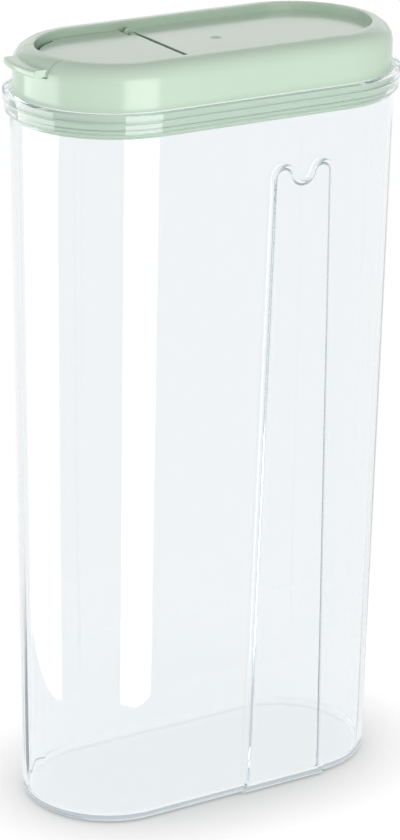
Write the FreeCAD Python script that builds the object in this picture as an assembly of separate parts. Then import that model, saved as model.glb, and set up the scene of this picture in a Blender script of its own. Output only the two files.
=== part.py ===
import FreeCAD, Part
import math
import os

# Food canister: a clear oblong tub, a press-in lid and a flip-up pouring flap.
# Lengths are millimetres. The middle of the base is the origin, Z points up,
# X runs along the long side with the flap at the -X end, and -Y is the front.

# Plan shape: two round ends joined by straight sides.
HALF_SPAN = 39.0        # from the middle to the centre of each round end

# Tub
TUB_TALL = 278.0        # to the top of the collar
BASE_R = 33.2           # outer end radius at the base
WALL_R = 36.5           # outer end radius just below the collar
WALL = 1.8
FLOOR = 2.5
FOOT_ROUND = 3.0
FLOOR_CHAMFER = 1.6
COLLAR_PROUD = 2.6
COLLAR_WALL = 2.1
COLLAR_CHAMFER = 0.7
COLLAR_BAND = 3.3       # height of the collar's upper bead
BEAD_STEP = 0.7         # the lower bead stands in by this much
LEDGE_DEEP = 6.0        # the lid's flange rests this far below the collar's top
SHOULDER_DROP = 3.5     # from the ledge down to where the wall starts to step out

# Raised strip with a two-humped top on the front wall
STRIP_X = 20.0
STRIP_PROUD = 1.6
STRIP_FOOT_HALF = 17.9
STRIP_TOP_HALF = 13.2
STRIP_DROP = 26.6       # from the collar's top down to the humps
HUMP_R = 5.0
DIP_DEEP = 6.8          # from the humps down to the dip between them

# Lid
LID_RISE = 21.8         # from the ledge to the top of the rim
SKIRT_GAP = 1.5         # open space between the collar and the lid's skirt
RIM_WIDE = 9.2          # from the skirt to the wall of the well, along the sides
WELL_LONGER = 1.5       # the rim is narrower by this much round the ends
WELL_DEEP = 3.1         # from the rim down to the deck and the closed flap
RIM_ROUND = 7.0
EDGE_CHAMFER = 0.4
SHELL = 1.8             # moulded thickness of the lid and the flap
FLANGE_TALL = 2.0
PLUG_DEEP = 4.1         # from the ledge down to the plug's lower edge
RIB_TALL = 0.5          # sealing ribs stand this far out of the plug
RIB_FROM_END = (1.1, 2.7)
GATE_X = 4.3            # middle of the shallow dish round the moulding gate
GATE_R = 2.5
GATE_DEEP = 0.5

# Pouring mouth under the flap
SLOT_X = -18.0          # middle of the slot between the deck and the flap
SLOT_WIDE = 1.8
TROUGH_DEEP = 4.4       # from the deck down to the plate that holds the mouth
MOUTH_IN = 5.8          # from the wall of the well in to the mouth
MOUTH_NEAR_X = -29.0
NOTCH_HALF = 12.6       # half width of the gap in the rim for the nose
WEB = 1.6               # wall closing the hollow rim beside the notch

# Hinge: pins on the flap, at the middle of its thickness, inside bored lugs on the lid
HINGE_SETBACK = 0.8     # from the middle of the slot to the hinge line
PIN_R = 0.8
PIN_ROOT = 3.0          # length of the pin that is joined to the panel's edge
PIN_SHORT = 0.4         # the pin ends this far inside its lug
LUG_R = 2.2
LUG_WIDE = 1.5
LUG_IN = 2.8            # from the wall of the well in to the lug
CORNER_IN = 7.9         # the panel's corner is cut away this far in from its side
CORNER_ROOM = 0.6       # open space between the lug and the panel

# Flap
RING_GAP = 1.0          # from the mouth to the ring that locates in it
RING_WALL = 1.5
RING_DEEP = 3.1
SLIT_WIDE = 1.3         # slit between the panel's round end and the well, beside the nose
SLIT_END_X = -50.0
TAB_IN = 1.1            # the thumb tab stops this far short of the notch's sides
TAB_DROP = 3.2          # from the rim down to the tab's top
TAB_THICK = 2.7
TAB_ROUND = 1.0

# Clearances
SIDE_GAP = 0.3          # lid in the tub
NOSE_GAP = 0.2          # nose in its notch
WELL_GAP = 0.4          # flap in the well
PIN_GAP = 0.05          # running fit of each pin in its lug
OVER = 5.0              # how far cutting shapes run past the part
ROUND_STEPS = 4         # flats that make up each rounding that is swept round the plan

COLLAR_R = WALL_R + COLLAR_PROUD
COLLAR_IN_R = COLLAR_R - COLLAR_WALL
SKIRT_R = COLLAR_IN_R - SKIRT_GAP
WELL_R = SKIRT_R - RIM_WIDE
WELL_SPAN = HALF_SPAN + WELL_LONGER
MOUTH_R = WELL_R - MOUTH_IN
TAB_HALF = NOTCH_HALF - TAB_IN
LEDGE_Z = TUB_TALL - LEDGE_DEEP
SHOULDER_Z = LEDGE_Z - SHOULDER_DROP
LID_TOP_Z = LEDGE_Z + LID_RISE
DECK_Z = LID_TOP_Z - WELL_DEEP
DECK_UNDER_Z = DECK_Z - SHELL
TROUGH_Z = DECK_Z - TROUGH_DEEP
TROUGH_UNDER_Z = TROUGH_Z - SHELL
DECK_EDGE_X = SLOT_X + SLOT_WIDE / 2
FLAP_EDGE_X = SLOT_X - SLOT_WIDE / 2
HINGE_X = SLOT_X - HINGE_SETBACK
HINGE_Z = DECK_Z - SHELL / 2
TAB_TOP_Z = LID_TOP_Z - TAB_DROP
TAB_UNDER_Z = TAB_TOP_Z - TAB_THICK
NOTCH_SILL_Z = TAB_UNDER_Z - WELL_GAP
PANEL_R = WELL_R - WELL_GAP
CORNER_Y = PANEL_R - CORNER_IN
LUG_Y = WELL_R - LUG_IN


def vec(x, y, z):
    return FreeCAD.Vector(x, y, z)


def on_circle(centre, radius, angle):
    turn = math.radians(angle)
    return (centre[0] + radius * math.cos(turn), centre[1] + radius * math.sin(turn))


def bend(centre, radius, start, end):
    """A round corner: where it starts, a point half way, and where it ends."""
    angles = (start, (start + end) / 2, end)
    return [on_circle(centre, radius, a) for a in angles]


def rounding(centre, radius, start, end):
    """A round corner as a few flats, because a true one swept round an end takes far more facets."""
    angles = [start + (end - start) * i / ROUND_STEPS for i in range(ROUND_STEPS + 1)]
    return [on_circle(centre, radius, a) for a in angles]


def face_from(moves, place):
    """A flat face from points and bends; place turns two numbers into a vector."""
    edges = []
    first = moves[0]
    here = first
    for move in moves[1:] + [first]:
        corner = isinstance(move, list)
        target = move[0] if corner else move
        if math.dist(here, target) > 1e-6:
            edges.append(Part.makeLine(place(here), place(target)))
            here = target
        if corner:
            arc = Part.Arc(place(move[0]), place(move[1]), place(move[2]))
            edges.append(arc.toShape())
            here = move[2]
    return Part.Face(Part.Wire(edges))


def section(moves):
    """A half section: distance out from the plan's spine, and height."""
    return face_from(moves, lambda p: vec(p[0], 0, p[1]))


def turned(face, angle):
    copy = face.copy()
    copy.rotate(vec(0, 0, 0), vec(0, 0, 1), angle)
    return copy


def end_turn(face, side, span):
    """The half section swept round one end: side is +1 or -1 along X."""
    start = turned(face, -90 if side > 0 else 90)
    start.translate(vec(side * span, 0, 0))
    return start.revolve(vec(side * span, 0, 0), vec(0, 0, 1), 180)


def oblong(moves, span=HALF_SPAN):
    """The half section swept round the whole plan shape."""
    face = section(moves)
    pieces = [end_turn(face, 1, span), end_turn(face, -1, span)]
    for angle in (-90, 90):
        side = turned(face, angle)
        side.translate(vec(-span, 0, 0))
        pieces.append(side.extrude(vec(2 * span, 0, 0)))
    return pieces[0].fuse(pieces[1:]).removeSplitter()


def slab(radius, low, high, span=HALF_SPAN):
    """A flat-topped block of the plan shape between two heights."""
    return oblong([(0, low), (radius, low), (radius, high), (0, high)], span)


def box(x0, x1, y0, y1, z0, z1):
    return Part.makeBox(x1 - x0, y1 - y0, z1 - z0, vec(x0, y0, z0))


def flap_side(z0, z1, edge_x):
    """Everything on the flap's side of a line across the lid."""
    reach = HALF_SPAN + COLLAR_R + OVER
    return box(-reach, edge_x, -reach, reach, z0, z1)


def rod(radius, y0, y1):
    """A round bar on the hinge line."""
    return Part.makeCylinder(radius, y1 - y0, vec(HINGE_X, y0, HINGE_Z), vec(0, 1, 0))


def wall_r(z):
    """Outer end radius of the sloping tub wall at a height."""
    return BASE_R + (WALL_R - BASE_R) * z / SHOULDER_Z


def tub_outside():
    bead_r = COLLAR_R - BEAD_STEP
    band_z = TUB_TALL - COLLAR_BAND
    foot = (wall_r(FOOT_ROUND) - FOOT_ROUND, FOOT_ROUND)
    return oblong([
        (0, 0),
        *rounding(foot, FOOT_ROUND, -90, 0),
        (WALL_R, SHOULDER_Z),
        (bead_r, SHOULDER_Z + bead_r - WALL_R),
        (bead_r, band_z - BEAD_STEP),
        (COLLAR_R, band_z),
        (COLLAR_R, TUB_TALL - COLLAR_CHAMFER),
        (COLLAR_R - COLLAR_CHAMFER, TUB_TALL),
        (0, TUB_TALL),
    ])


def tub_inside():
    corner_z = FLOOR + FLOOR_CHAMFER
    corner_r = wall_r(corner_z) - WALL
    return oblong([
        (0, FLOOR),
        (corner_r - FLOOR_CHAMFER, FLOOR),
        (corner_r, corner_z),
        (WALL_R - WALL, SHOULDER_Z),
        (WALL_R - WALL, LEDGE_Z),
        (COLLAR_IN_R, LEDGE_Z),
        (COLLAR_IN_R, TUB_TALL + OVER),
        (0, TUB_TALL + OVER),
    ])


def strip_prism(inset):
    """The strip's outline, drawn smaller by inset, pushed through the front wall."""
    hump_r = HUMP_R - inset
    hump_z = TUB_TALL - STRIP_DROP - HUMP_R
    reach = STRIP_TOP_HALF - HUMP_R
    # The dip is the round that just touches both humps and has its low point DIP_DEEP down.
    drop = HUMP_R - DIP_DEEP
    dip_r = (reach ** 2 + drop ** 2 - HUMP_R ** 2) / (2 * DIP_DEEP)
    dip = (STRIP_X, hump_z + drop + dip_r)
    slope = math.degrees(math.atan2(dip[1] - hump_z, reach))
    left = (STRIP_X - reach, hump_z)
    right = (STRIP_X + reach, hump_z)
    foot = STRIP_FOOT_HALF - inset
    face = face_from([
        (STRIP_X - foot, -OVER),
        bend(left, hump_r, 180, slope),
        bend(dip, dip_r + inset, 180 + slope, 360 - slope),
        bend(right, hump_r, 180 - slope, 0),
        (STRIP_X + foot, -OVER),
    ], lambda p: vec(p[0], 0, p[1]))
    return face.extrude(vec(0, -2 * WALL_R, 0))


def strip_outside():
    """The wall's outer shape moved out by the strip's height, foot rounding included."""
    foot = (wall_r(FOOT_ROUND) + STRIP_PROUD - FOOT_ROUND, FOOT_ROUND)
    return oblong([
        (0, 0),
        *rounding(foot, FOOT_ROUND, -90, 0),
        (WALL_R + STRIP_PROUD, SHOULDER_Z),
        (0, SHOULDER_Z),
    ])


def strip_inside():
    """The hollow behind the strip, one wall thickness in from its front."""
    corner_z = FLOOR + FLOOR_CHAMFER
    corner_r = wall_r(corner_z) + STRIP_PROUD - WALL
    return oblong([
        (0, FLOOR),
        (corner_r - FLOOR_CHAMFER, FLOOR),
        (corner_r, corner_z),
        (WALL_R + STRIP_PROUD - WALL, SHOULDER_Z),
        (0, SHOULDER_Z),
    ])


def make_body():
    strip = strip_outside().common(strip_prism(0))
    hollow = strip_inside().common(strip_prism(WALL))
    outside = tub_outside().fuse(strip)
    inside = tub_inside().fuse(hollow)
    return outside.cut(inside).removeSplitter()


def lid_outside():
    """The lid's outer shape, filled: ribbed plug, flange, skirt and rounded rim."""
    plug_r = WALL_R - WALL - SIDE_GAP - RIB_TALL
    plug_z = LEDGE_Z - PLUG_DEEP
    flange_r = COLLAR_IN_R - SIDE_GAP
    flange_z = LEDGE_Z + FLANGE_TALL
    rim = (SKIRT_R - RIM_ROUND, LID_TOP_Z - RIM_ROUND)
    moves = [(0, plug_z), (plug_r, plug_z)]
    for start in RIB_FROM_END:
        low = plug_z + start
        moves.append((plug_r, low))
        moves.append((plug_r + RIB_TALL, low + RIB_TALL))
        moves.append((plug_r, low + 2 * RIB_TALL))
    moves += [
        (plug_r, LEDGE_Z),
        (flange_r, LEDGE_Z),
        (flange_r, flange_z),
        (SKIRT_R, flange_z),
        *rounding(rim, RIM_ROUND, 0, 90),
        (0, LID_TOP_Z),
    ]
    return oblong(moves)


def lid_hollow():
    """The space under the lid, up to the underside of the rim."""
    inner_r = WALL_R - WALL - SIDE_GAP - RIB_TALL - SHELL
    skirt_in = SKIRT_R - SHELL
    low = LEDGE_Z - PLUG_DEEP - OVER
    flange_z = LEDGE_Z + FLANGE_TALL
    return oblong([
        (0, low),
        (inner_r, low),
        (inner_r, flange_z - skirt_in + inner_r),
        (skirt_in, flange_z),
        (skirt_in, LID_TOP_Z - RIM_ROUND),
        (SKIRT_R - RIM_ROUND, LID_TOP_Z - SHELL),
        (0, LID_TOP_Z - SHELL),
    ])


def well_space():
    """The sunk well inside the rim, with a chamfered top edge."""
    return oblong([
        (0, DECK_Z),
        (WELL_R, DECK_Z),
        (WELL_R, LID_TOP_Z - EDGE_CHAMFER),
        (WELL_R + EDGE_CHAMFER, LID_TOP_Z),
        (WELL_R + EDGE_CHAMFER, LID_TOP_Z + OVER),
        (0, LID_TOP_Z + OVER),
    ], WELL_SPAN)


def lid_shell():
    """Skirt, rim, well and an unbroken deck, before anything is cut for the flap."""
    shell = lid_outside().cut(lid_hollow())
    well = slab(WELL_R + SHELL, DECK_UNDER_Z, LID_TOP_Z - SHELL, WELL_SPAN)
    return shell.fuse(well).cut(well_space())


def mouth_prism(inset, z0, z1):
    """The mouth's outline: a round end run straight to its near edge."""
    radius = MOUTH_R - inset
    near = MOUTH_NEAR_X - inset
    face = face_from([
        (near, -radius),
        (near, radius),
        bend((-HALF_SPAN, 0), radius, 90, 270),
    ], lambda p: vec(p[0], p[1], z0))
    return face.extrude(vec(0, 0, z1 - z0))


def trough():
    """The lowered part of the lid under the flap: plate, side wall and back wall."""
    back_x = DECK_EDGE_X + SHELL
    zone = flap_side(TROUGH_UNDER_Z, DECK_Z, back_x)
    plate = slab(SKIRT_R - SHELL / 2, TROUGH_UNDER_Z, TROUGH_Z).common(zone)
    ring = slab(WELL_R + SHELL, TROUGH_UNDER_Z, DECK_Z, WELL_SPAN)
    ring = ring.cut(slab(WELL_R, TROUGH_UNDER_Z, DECK_Z, WELL_SPAN)).common(zone)
    back = box(DECK_EDGE_X, back_x, -WELL_R, WELL_R, TROUGH_UNDER_Z, DECK_Z)
    mouth = mouth_prism(0, TROUGH_UNDER_Z - OVER, TROUGH_Z + OVER)
    return plate.fuse([ring, back]).cut(mouth)


def nose_space(inset, skirt_z):
    """Where the nose goes: down to the panel inside, and to skirt_z over the skirt."""
    half = NOTCH_HALF - inset
    end_x = SHELL - WELL_SPAN - math.sqrt(WELL_R ** 2 - NOTCH_HALF ** 2)
    reach = HALF_SPAN + COLLAR_R + OVER
    top = LID_TOP_Z + OVER
    inside = slab(SKIRT_R - SHELL, TROUGH_UNDER_Z, top)
    over_skirt = box(-reach, end_x, -half, half, skirt_z, top).cut(inside)
    over_sill = box(-reach, end_x, -half, half, DECK_UNDER_Z, top).common(inside)
    return over_skirt.fuse(over_sill)


def notch_webs():
    """Walls that close the hollow rim on each side of the notch."""
    reach = HALF_SPAN + SKIRT_R
    webs = []
    for side in (-1, 1):
        y = sorted((side * NOTCH_HALF, side * (NOTCH_HALF + WEB)))
        webs.append(box(-reach, -HALF_SPAN, y[0], y[1], TROUGH_Z, LID_TOP_Z))
    filled = lid_outside().cut(slab(WELL_R, TROUGH_Z, LID_TOP_Z, WELL_SPAN))
    return filled.cut(well_space()).common(webs[0].fuse(webs[1]))


def across(side, y0, y1):
    """Two distances from the middle as low and high Y on one side."""
    return sorted((side * y0, side * y1))


def hinge_lug(side):
    """A bored arch that stands on the trough's plate and joins its back wall."""
    y0, y1 = across(side, LUG_Y - LUG_WIDE, LUG_Y)
    leg = box(HINGE_X - LUG_R, DECK_EDGE_X + SHELL / 2, y0, y1, TROUGH_UNDER_Z, HINGE_Z)
    return leg.fuse(rod(LUG_R, y0, y1)).cut(rod(PIN_R + PIN_GAP, y0, y1))


def gate_dish():
    """A shallow dish in the deck where the plastic entered the mould."""
    centre = vec(GATE_X, 0, DECK_Z)
    return Part.makeCone(GATE_R, GATE_R - 2 * GATE_DEEP, GATE_DEEP, centre, vec(0, 0, -1))


def make_lid():
    low = DECK_UNDER_Z - OVER
    opening = slab(WELL_R, low, DECK_Z, WELL_SPAN).common(flap_side(low, DECK_Z, DECK_EDGE_X))
    lid = lid_shell().cut([opening, gate_dish()])
    lid = lid.fuse([trough(), notch_webs()]).cut(nose_space(0, NOTCH_SILL_Z))
    return lid.fuse([hinge_lug(-1), hinge_lug(1)]).removeSplitter()


def thumb_tab():
    """The tab reaches out as far as the tub's collar."""
    inner = SKIRT_R - SHELL
    tip = COLLAR_R
    ring = end_turn(section([
        (inner, TAB_UNDER_Z),
        *rounding((tip - TAB_ROUND, TAB_UNDER_Z + TAB_ROUND), TAB_ROUND, -90, 0),
        *rounding((tip - TAB_ROUND, TAB_TOP_Z - TAB_ROUND), TAB_ROUND, 0, 90),
        (inner, TAB_TOP_Z),
    ]), -1, HALF_SPAN)
    reach = HALF_SPAN + tip
    return ring.common(box(-reach, -HALF_SPAN, -TAB_HALF, TAB_HALF, TAB_UNDER_Z, TAB_TOP_Z))


def locating_ring():
    low = DECK_UNDER_Z - RING_DEEP
    outer = mouth_prism(RING_GAP, low, DECK_UNDER_Z)
    return outer.cut(mouth_prism(RING_GAP + RING_WALL, low, DECK_UNDER_Z))


def end_slit():
    """Room round the panel's end, apart from the nose that it carries."""
    low = DECK_UNDER_Z - OVER
    top = DECK_Z + OVER
    reach = WELL_SPAN + WELL_R
    arc = slab(WELL_R, low, top, WELL_SPAN).cut(slab(PANEL_R - SLIT_WIDE, low, top, WELL_SPAN))
    nose = box(-reach, -HALF_SPAN, -NOTCH_HALF, NOTCH_HALF, low, top)
    return arc.common(flap_side(low, top, SLIT_END_X)).cut(nose)


def lug_corner(side):
    """The panel's corner, cut away round a lug."""
    y0, y1 = across(side, CORNER_Y, WELL_R)
    low = DECK_UNDER_Z - OVER
    return box(HINGE_X - LUG_R - CORNER_ROOM, DECK_EDGE_X, y0, y1, low, DECK_Z + OVER)


def hinge_pin(side):
    y0, y1 = across(side, CORNER_Y - PIN_ROOT, LUG_Y - PIN_SHORT)
    return rod(PIN_R, y0, y1)


def make_panel():
    panel = slab(PANEL_R, DECK_UNDER_Z, DECK_Z, WELL_SPAN)
    panel = panel.common(flap_side(DECK_UNDER_Z, DECK_Z, FLAP_EDGE_X))
    return panel.cut([end_slit(), lug_corner(-1), lug_corner(1)])


def make_flap():
    nose = lid_shell().common(nose_space(NOSE_GAP, TAB_UNDER_Z))
    pieces = [nose, thumb_tab(), locating_ring(), hinge_pin(-1), hinge_pin(1)]
    return make_panel().fuse(pieces).removeSplitter()


os.makedirs("parts", exist_ok=True)
for name, make in (("body", make_body), ("lid", make_lid), ("flap", make_flap)):
    shape = make()
    solids = shape.Solids
    print(name, "solids", len(solids), "valid", shape.isValid(), "volume", round(shape.Volume))
    solids[0].exportStep("parts/" + name + ".step")
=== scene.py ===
# %% [markdown]
# # A clear food canister with a mint lid
#
# The canister is three mouldings: a tall clear tub, a glossy mint lid that presses into it, and a small
# flap, whose two pins turn in lugs of the lid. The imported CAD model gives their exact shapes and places.
# Here they get softened edges and real plastic finishes, and stand in a small white studio.

# %% Load the frame
import bmesh
import bpy
import math
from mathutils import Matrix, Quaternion, Vector


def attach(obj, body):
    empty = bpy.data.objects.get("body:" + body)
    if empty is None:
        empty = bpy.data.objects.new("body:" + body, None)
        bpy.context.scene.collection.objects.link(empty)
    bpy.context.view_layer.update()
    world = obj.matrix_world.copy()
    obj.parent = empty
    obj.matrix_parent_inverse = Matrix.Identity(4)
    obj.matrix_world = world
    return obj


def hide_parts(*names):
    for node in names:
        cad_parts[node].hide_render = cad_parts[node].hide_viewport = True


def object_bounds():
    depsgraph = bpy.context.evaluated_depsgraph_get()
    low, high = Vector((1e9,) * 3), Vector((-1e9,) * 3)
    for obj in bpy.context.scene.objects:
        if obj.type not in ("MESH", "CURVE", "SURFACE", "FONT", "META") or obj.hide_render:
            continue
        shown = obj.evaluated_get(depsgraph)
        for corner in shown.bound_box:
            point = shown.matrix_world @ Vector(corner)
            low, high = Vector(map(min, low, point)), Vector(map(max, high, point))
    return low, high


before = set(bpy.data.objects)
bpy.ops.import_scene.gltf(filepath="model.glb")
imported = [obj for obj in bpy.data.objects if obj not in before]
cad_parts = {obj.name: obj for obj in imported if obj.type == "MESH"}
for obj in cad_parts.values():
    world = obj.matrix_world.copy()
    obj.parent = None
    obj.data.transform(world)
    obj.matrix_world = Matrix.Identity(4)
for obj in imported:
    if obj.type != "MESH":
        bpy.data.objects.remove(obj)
cad_low, cad_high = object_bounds()
print("CAD box", [round(v, 4) for v in cad_low], [round(v, 4) for v in cad_high])

# %% [markdown]
# ## Camera
#
# A long lens a little over a metre away looks down on the canister's flap end. The distance, the angles
# and the lens were fitted to the outline of the real one, so the render lines up with it. A camera can be
# turned by a constraint that tracks a target, but a quaternion worked out from the direction of view is
# exact, and lets the slight roll be added as one more turn.

# %% Camera
MM = 0.001
AIM = Vector((0, 0, 143.55)) * MM
DISTANCE = 1196.8 * MM
AZIMUTH = math.radians(-31.38)
ELEVATION = math.radians(20.72)
ROLL = math.radians(0.86)
LENS = 135.82


def direction(azimuth, elevation):
    """Unit vector from the canister towards a place round it; azimuth 0 is the front."""
    flat = math.cos(elevation)
    return Vector((math.sin(azimuth) * flat, -math.cos(azimuth) * flat, math.sin(elevation)))


def facing(way, roll=0.0):
    """The turn that points an object's own -Z axis along a direction."""
    return way.to_track_quat("-Z", "Y") @ Quaternion((0, 0, 1), roll)


back = direction(AZIMUTH, ELEVATION)
camera = bpy.data.objects.new("camera", bpy.data.cameras.new("camera"))
bpy.context.scene.collection.objects.link(camera)
camera.data.lens = LENS
camera.location = AIM + back * DISTANCE
camera.rotation_mode = "QUATERNION"
camera.rotation_quaternion = facing(-back, ROLL)
bpy.context.scene.camera = camera
print("camera at", [round(v, 3) for v in camera.location])

# %% [markdown]
# ## Colours and nodes
#
# Colours are picked as sRGB hex values, as a paint chart gives them, and Blender's shaders want linear
# light, so one function converts them. Another adds a node, sets its values and makes its links, so
# that each finish below reads as a short list.

# %% Helpers for finishes


def linear(hex_colour):
    """An sRGB hex colour as linear red, green, blue and alpha."""
    parts = [int(hex_colour[i:i + 2], 16) / 255 for i in (1, 3, 5)]
    return [v / 12.92 if v <= 0.04045 else ((v + 0.055) / 1.055) ** 2.4 for v in parts] + [1.0]


def add(tree, kind, settings=None, **inputs):
    """Adds a node: settings are its own properties, and inputs are values or sockets to link."""
    node = tree.nodes.new(kind)
    for name, value in (settings or {}).items():
        setattr(node, name, value)
    for name, value in inputs.items():
        key = int(name[1:]) if name[1:].isdigit() else name.replace("_", " ")
        if isinstance(value, bpy.types.NodeSocket):
            tree.links.new(value, node.inputs[key])
        else:
            node.inputs[key].default_value = value
    return node


def new_material(name):
    """An empty node material, its tree and its output node."""
    material = bpy.data.materials.new(name)
    material.use_nodes = True
    tree = material.node_tree
    tree.nodes.clear()
    return material, tree, tree.nodes.new("ShaderNodeOutputMaterial")


WHITE = linear("#ffffff")
print("white is", WHITE)

# %% [markdown]
# ## Clear SAN
#
# The tub is styrene-acrylonitrile, SAN, a stiff clear plastic moulded against polished steel. It bends
# light strongly (its IOR is 1.57), so its edges and the rounded foot gather grey and white lines, while
# the flat walls let the background through. The walls are real shells with an inside and an outside, so
# Blender's refraction does the rest. Lamps see a plain tinted film instead, because light bent through
# a thin wall would need far more samples than it is worth, and it leaves about the same soft shadow.
#
# Some light is trapped: it runs along inside a wall or the base like light in a glass fibre, mirrored
# at each face. A renderer gives up on it after a few bounces and draws it black. Real edges glow pale
# instead, so after four bounces the wall turns into a grey-blue film that lets that light straight out.

# %% Clear SAN
SAN_IOR = 1.57
SAN_ROUGH = 0.02        # polished steel leaves almost none
SAN_TINT = "#f7f9fa"
SAN_FILM = "#f6f7f7"    # what lamps see of one face of a wall
SAN_EDGE = "#c6cfd4"    # what trapped light sees of it
TRAPPED_BOUNCES = 3.5   # light mirrored more often than this inside a wall is let straight out
FLOW_MM = 38.0          # length of the slow waves that cooling leaves in a long moulded wall
FLOW_DEEP_MM = 0.2
FLOW_STRENGTH = 0.04


def make_clear_san():
    """Clear plastic that refracts what the camera sees, and is a plain film to the lamps."""
    material, tree, output = new_material("SAN_clear_moulded")
    place = add(tree, "ShaderNodeTexCoord")
    waves = add(
        tree, "ShaderNodeTexNoise",
        Vector=place.outputs["Object"], Scale=1 / (FLOW_MM * MM), Detail=1.0,
    )
    ripple = add(
        tree, "ShaderNodeBump",
        Height=waves.outputs["Fac"], Strength=FLOW_STRENGTH, Distance=FLOW_DEEP_MM * MM,
    )
    clear = add(
        tree, "ShaderNodeBsdfPrincipled",
        Base_Color=linear(SAN_TINT), Roughness=SAN_ROUGH, IOR=SAN_IOR,
        Transmission_Weight=1.0, Normal=ripple.outputs["Normal"],
    )
    film = add(tree, "ShaderNodeBsdfTransparent", Color=linear(SAN_FILM))
    path = add(tree, "ShaderNodeLightPath")
    lamp = add(
        tree, "ShaderNodeMath", {"operation": "MAXIMUM"},
        _0=path.outputs["Is Shadow Ray"], _1=path.outputs["Is Diffuse Ray"],
    )
    trapped = add(
        tree, "ShaderNodeMath", {"operation": "GREATER_THAN"},
        _0=path.outputs["Glossy Depth"], _1=TRAPPED_BOUNCES,
    )
    edge = add(tree, "ShaderNodeBsdfTransparent", Color=linear(SAN_EDGE))
    wall = add(
        tree, "ShaderNodeMixShader",
        Fac=trapped.outputs[0], _1=clear.outputs["BSDF"], _2=edge.outputs["BSDF"],
    )
    mix = add(
        tree, "ShaderNodeMixShader",
        Fac=lamp.outputs[0], _1=wall.outputs["Shader"], _2=film.outputs["BSDF"],
    )
    tree.links.new(mix.outputs["Shader"], output.inputs["Surface"])
    return material


clear_san = make_clear_san()
print("made", clear_san.name)

# %% [markdown]
# ## Mint polypropylene
#
# The lid and the flap are polypropylene with a pale green pigment. It is a soft, slightly waxy plastic:
# glossy, but with a faint orange-peel in its reflections, and shining a touch less where the melt met
# in the mould. A fine noise drives the bump, and a slow one varies the roughness.

# %% Mint polypropylene
PP_IOR = 1.49
PP_MINT = "#b7cbb8"
PP_ROUGH = 0.13, 0.23   # from the glossiest patches to the dullest
PATCH_MM = 24.0         # size of those patches
PEEL_MM = 1.6           # size of the orange-peel's bumps, coarser than real so that they show
PEEL_DEEP_MM = 0.05
PEEL_STRENGTH = 0.05


def make_mint_pp():
    """Opaque glossy plastic with a faint orange-peel and slow patches of gloss."""
    material, tree, output = new_material("polypropylene_mint_gloss")
    place = add(tree, "ShaderNodeTexCoord")
    peel = add(
        tree, "ShaderNodeTexNoise",
        Vector=place.outputs["Object"], Scale=1 / (PEEL_MM * MM), Detail=2.0,
    )
    patch = add(
        tree, "ShaderNodeTexNoise",
        Vector=place.outputs["Object"], Scale=1 / (PATCH_MM * MM), Detail=3.0,
    )
    gloss = add(
        tree, "ShaderNodeMapRange",
        Value=patch.outputs["Fac"], To_Min=PP_ROUGH[0], To_Max=PP_ROUGH[1],
    )
    bump = add(
        tree, "ShaderNodeBump",
        Height=peel.outputs["Fac"], Strength=PEEL_STRENGTH, Distance=PEEL_DEEP_MM * MM,
    )
    mint = add(
        tree, "ShaderNodeBsdfPrincipled",
        Base_Color=linear(PP_MINT), IOR=PP_IOR,
        Roughness=gloss.outputs["Result"], Normal=bump.outputs["Normal"],
    )
    tree.links.new(mint.outputs["BSDF"], output.inputs["Surface"])
    return material


mint_pp = make_mint_pp()
print("made", mint_pp.name)

# %% [markdown]
# ## The three mouldings
#
# The CAD solids have knife-sharp edges, and no moulding has. A copy of each mesh is merged, its flat
# faces are joined up again, and every edge sharper than 30 degrees gets a small round. The outline of
# the tub's raised strip and the crest of the lid's rim get wider ones first. Weighted normals then keep
# the broad faces flat in the reflections, so only the edges look soft.

# %% Softened copies of the CAD solids
MERGE = 0.002 * MM      # corners nearer than this are one corner
FLAT_ANGLE = math.radians(0.3)
EDGE_ANGLE = math.radians(30)
NORMAL_WEIGHT = 100     # how strongly the broad faces rule the shading
STRIP_Z = 0.006, 0.262  # heights between which the strip's outline runs
STRIP_Y = -0.029        # and how far forward it lies
CREST_Z = 0.2932        # only the crest of the lid's rim is higher than this
CREST_X = -0.060        # and its notch starts beyond this


def rounded(shape, edges, size_mm, segments):
    """Rounds some edges of a bmesh."""
    bmesh.ops.bevel(
        shape, geom=edges, offset=size_mm * MM, affect="EDGES", segments=segments,
        profile=0.5, material=-1, clamp_overlap=False,
    )


def sharp_edges(shape):
    """The edges at which the surface turns by more than EDGE_ANGLE."""
    return [e for e in shape.edges if e.is_manifold and e.calc_face_angle() > EDGE_ANGLE]


def on_strip(edge):
    """True for the long outline of the raised strip on the front wall."""
    top = max(v.co.z for v in edge.verts)
    return max(v.co.y for v in edge.verts) < STRIP_Y and STRIP_Z[0] < top < STRIP_Z[1]


def on_crest(edge):
    """True for the top edges of the lid's rim, short of its notch."""
    low = min(v.co.z for v in edge.verts)
    return low > CREST_Z and min(v.co.x for v in edge.verts) > CREST_X


def anywhere(edge):
    """True for every edge."""
    return True


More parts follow.
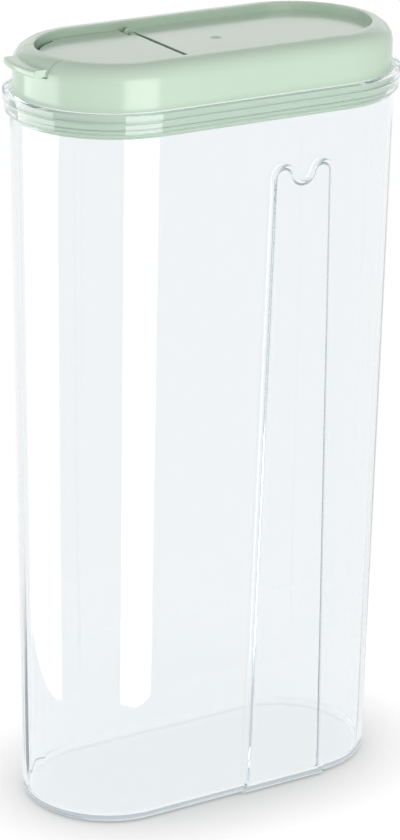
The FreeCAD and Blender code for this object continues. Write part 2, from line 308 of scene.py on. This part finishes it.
def softened(name, node, body, rounds, material):
    """A copy of a CAD node with rounded edges, which stands for the node and rides on its body.

    The rounds are made in order. Each is a test for its edges, a size in mm and a number of segments.
    """
    shape = bmesh.new()
    shape.from_mesh(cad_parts[node].data)
    bmesh.ops.remove_doubles(shape, verts=shape.verts, dist=MERGE)
    bmesh.ops.dissolve_limit(shape, angle_limit=FLAT_ANGLE, verts=shape.verts, edges=shape.edges)
    counts = []
    for chosen, size_mm, segments in rounds:
        edges = [e for e in sharp_edges(shape) if chosen(e)]
        rounded(shape, edges, size_mm, segments)
        counts.append(len(edges))
    for corner in shape.verts:  # no round may pass the top or the bottom of the CAD box
        corner.co.z = min(max(corner.co.z, cad_low.z), cad_high.z)
    mesh = bpy.data.meshes.new(name)
    shape.to_mesh(mesh)
    shape.free()
    mesh.shade_smooth()
    mesh.materials.append(material)
    piece = bpy.data.objects.new(name, mesh)
    bpy.context.scene.collection.objects.link(piece)
    even = piece.modifiers.new("even_normals", "WEIGHTED_NORMAL")
    even.weight = NORMAL_WEIGHT
    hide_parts(node)
    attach(piece, body)
    print(name, counts, "edges rounded,", len(mesh.polygons), "faces")


TUB_ROUNDS = [(on_strip, 0.75, 4), (anywhere, 0.15, 2)]
LID_ROUNDS = [(on_crest, 0.26, 3), (anywhere, 0.12, 2)]
softened("tub_shell", "body", "tub", TUB_ROUNDS, clear_san)
softened("lid_shell", "lid", "cover", LID_ROUNDS, mint_pp)
softened("pour_flap_shell", "flap", "pour_flap", LID_ROUNDS, mint_pp)

# %% [markdown]
# ## Floor
#
# A small pale table top is all the floor that shows. It stops a hand's width from the canister, so the
# tub's walls mirror the lamps beside the table and not just the table itself. The lamps alone leave it
# light grey, so an even glow lifts it to the white of the background. The glow fades close to the
# canister's foot, by ambient occlusion, and so paints a soft shadow there, stronger than the faint one
# that the lamps cast.

# %% Floor
TABLE_MARGIN = 88 * MM
TABLE_DROP = 0.2 * MM
TABLE_PALE = "#c4c4c4"
TABLE_ROUGH = 0.6
TABLE_LIFT = 0.70       # brings the lit table up to the white of the background
TABLE_THROUGH = 0.92    # the share of that lift seen through the tub, where the painted shadow isn't used
SHADE_MM = 46.0         # how far the painted soft shadow at the canister's foot reaches
SHADE_SAMPLES = 16


def make_table():
    """A matt table top under the canister, lifted to white for the camera, with a painted soft shadow at
    its foot.
    """
    shape = bmesh.new()
    bmesh.ops.create_grid(shape, x_segments=1, y_segments=1, size=0.5)
    size = cad_high - cad_low
    span = Vector((size.x + 2 * TABLE_MARGIN, size.y + 2 * TABLE_MARGIN, 1))
    bmesh.ops.scale(shape, vec=span, verts=shape.verts)
    bmesh.ops.translate(shape, vec=(0, 0, -TABLE_DROP), verts=shape.verts)
    mesh = bpy.data.meshes.new("table_top")
    shape.to_mesh(mesh)
    shape.free()
    material, tree, output = new_material("pale_laminate")
    pale = add(
        tree, "ShaderNodeBsdfPrincipled",
        Base_Color=linear(TABLE_PALE), Roughness=TABLE_ROUGH, Specular_IOR_Level=0.0,
    )
    path = add(tree, "ShaderNodeLightPath")
    # ambient occlusion fades the glow near the canister, which paints a soft shadow at its foot
    painted_foot_shadow = add(tree, "ShaderNodeAmbientOcclusion", {"samples": SHADE_SAMPLES}, Distance=SHADE_MM * MM)
    shaded = add(
        tree, "ShaderNodeMath", {"operation": "MULTIPLY"},
        _0=path.outputs["Is Camera Ray"], _1=painted_foot_shadow.outputs["AO"],
    )
    mirrored = add(
        tree, "ShaderNodeMath", {"operation": "MAXIMUM"},
        _0=path.outputs["Is Transmission Ray"], _1=path.outputs["Is Glossy Ray"],
    )
    dimmed = add(
        tree, "ShaderNodeMath", {"operation": "MULTIPLY"},
        _0=mirrored.outputs[0], _1=TABLE_THROUGH,
    )
    seen = add(
        tree, "ShaderNodeMath", {"operation": "MAXIMUM"},
        _0=shaded.outputs[0], _1=dimmed.outputs[0],
    )
    lift = add(
        tree, "ShaderNodeMath", {"operation": "MULTIPLY"},
        _0=seen.outputs[0], _1=TABLE_LIFT,
    )
    glow = add(tree, "ShaderNodeEmission", Color=WHITE, Strength=lift.outputs[0])
    both = add(tree, "ShaderNodeAddShader", _0=pale.outputs["BSDF"], _1=glow.outputs["Emission"])
    tree.links.new(both.outputs["Shader"], output.inputs["Surface"])
    mesh.materials.append(material)
    table = bpy.data.objects.new("table_top", mesh)
    bpy.context.scene.collection.objects.link(table)
    return table


table = make_table()
print("table", [round(v, 3) for v in table.dimensions])

# %% [markdown]
# ## Lamps
#
# Two upright softboxes stand beside the table, one at the front and one to the left, and show as the two
# pale bands down the tub's round end. A fill in front and a panel overhead brighten the lid, and are kept
# out of the reflections. A broad card behind the canister is mirrored by the lid's flat top. Places and
# sizes are in metres, and azimuth 0 is the front. A lamp's radiance is how bright it looks, with 1 as
# white, so its power follows from its area.

# %% Lamps


def panel_lamp(name, place, way, width, height, radiance):
    """A rectangular lamp at a place, facing along a direction, that the camera doesn't see."""
    lamp = bpy.data.lights.new(name, "AREA")
    lamp.shape = "RECTANGLE"
    lamp.size = width
    lamp.size_y = height
    lamp.energy = radiance * math.pi * width * height
    box = bpy.data.objects.new(name, lamp)
    box.location = place
    box.rotation_mode = "QUATERNION"
    box.rotation_quaternion = facing(way)
    box.visible_camera = False
    box.visible_transmission = False
    bpy.context.scene.collection.objects.link(box)
    print(name, round(lamp.energy, 1), "W")
    return box


def softbox(name, azimuth, distance, width, low, high, radiance):
    """An upright lamp that faces the canister's axis."""
    way = direction(math.radians(azimuth), 0)
    place = way * distance + Vector((0, 0, (low + high) / 2))
    return panel_lamp(name, place, -way, width, high - low, radiance)


TOP_Z = 1.6
TOP_SPAN = 1.2
DOWN = Vector((0, 0, -1))

softbox("front_softbox", azimuth=3, distance=0.95, width=0.70, low=-0.60, high=0.65, radiance=4.0)
softbox("left_softbox", azimuth=-119, distance=0.98, width=1.0, low=-0.60, high=0.55, radiance=3.2)
fill = softbox("front_fill", azimuth=-35, distance=1.3, width=1.4, low=0.40, high=1.00, radiance=1.3)
top = panel_lamp("top_panel", -DOWN * TOP_Z, DOWN, TOP_SPAN, TOP_SPAN, radiance=1.1)
softbox("back_card", azimuth=148, distance=1.5, width=1.8, low=0.45, high=1.3, radiance=0.5)
for unseen in (fill, top):
    unseen.visible_glossy = False

# %% [markdown]
# ## World
#
# The camera, and what it sees through the clear walls or mirrored in them, gets a plain white background
# of strength 1. The rest of the light from all round is a soft grey dome, which only fills the shadows.

# %% World
FILL = 0.24
world = bpy.data.worlds.new("studio")
bpy.context.scene.world = world
world.use_nodes = True
tree = world.node_tree
tree.nodes.clear()
output = tree.nodes.new("ShaderNodeOutputWorld")
path = add(tree, "ShaderNodeLightPath")
straight = add(
    tree, "ShaderNodeMath", {"operation": "MAXIMUM"},
    _0=path.outputs["Is Camera Ray"], _1=path.outputs["Is Transmission Ray"],
)
seen = add(
    tree, "ShaderNodeMath", {"operation": "MAXIMUM"},
    _0=straight.outputs[0], _1=path.outputs["Is Glossy Ray"],
)
white = add(tree, "ShaderNodeBackground", Color=WHITE, Strength=1.0)
dome = add(tree, "ShaderNodeBackground", Color=WHITE, Strength=FILL)
mix = add(
    tree, "ShaderNodeMixShader",
    Fac=seen.outputs[0], _1=dome.outputs["Background"], _2=white.outputs["Background"],
)
tree.links.new(mix.outputs["Shader"], output.inputs["Surface"])
bpy.context.scene.view_settings.view_transform = "Standard"
print("world", world.name)
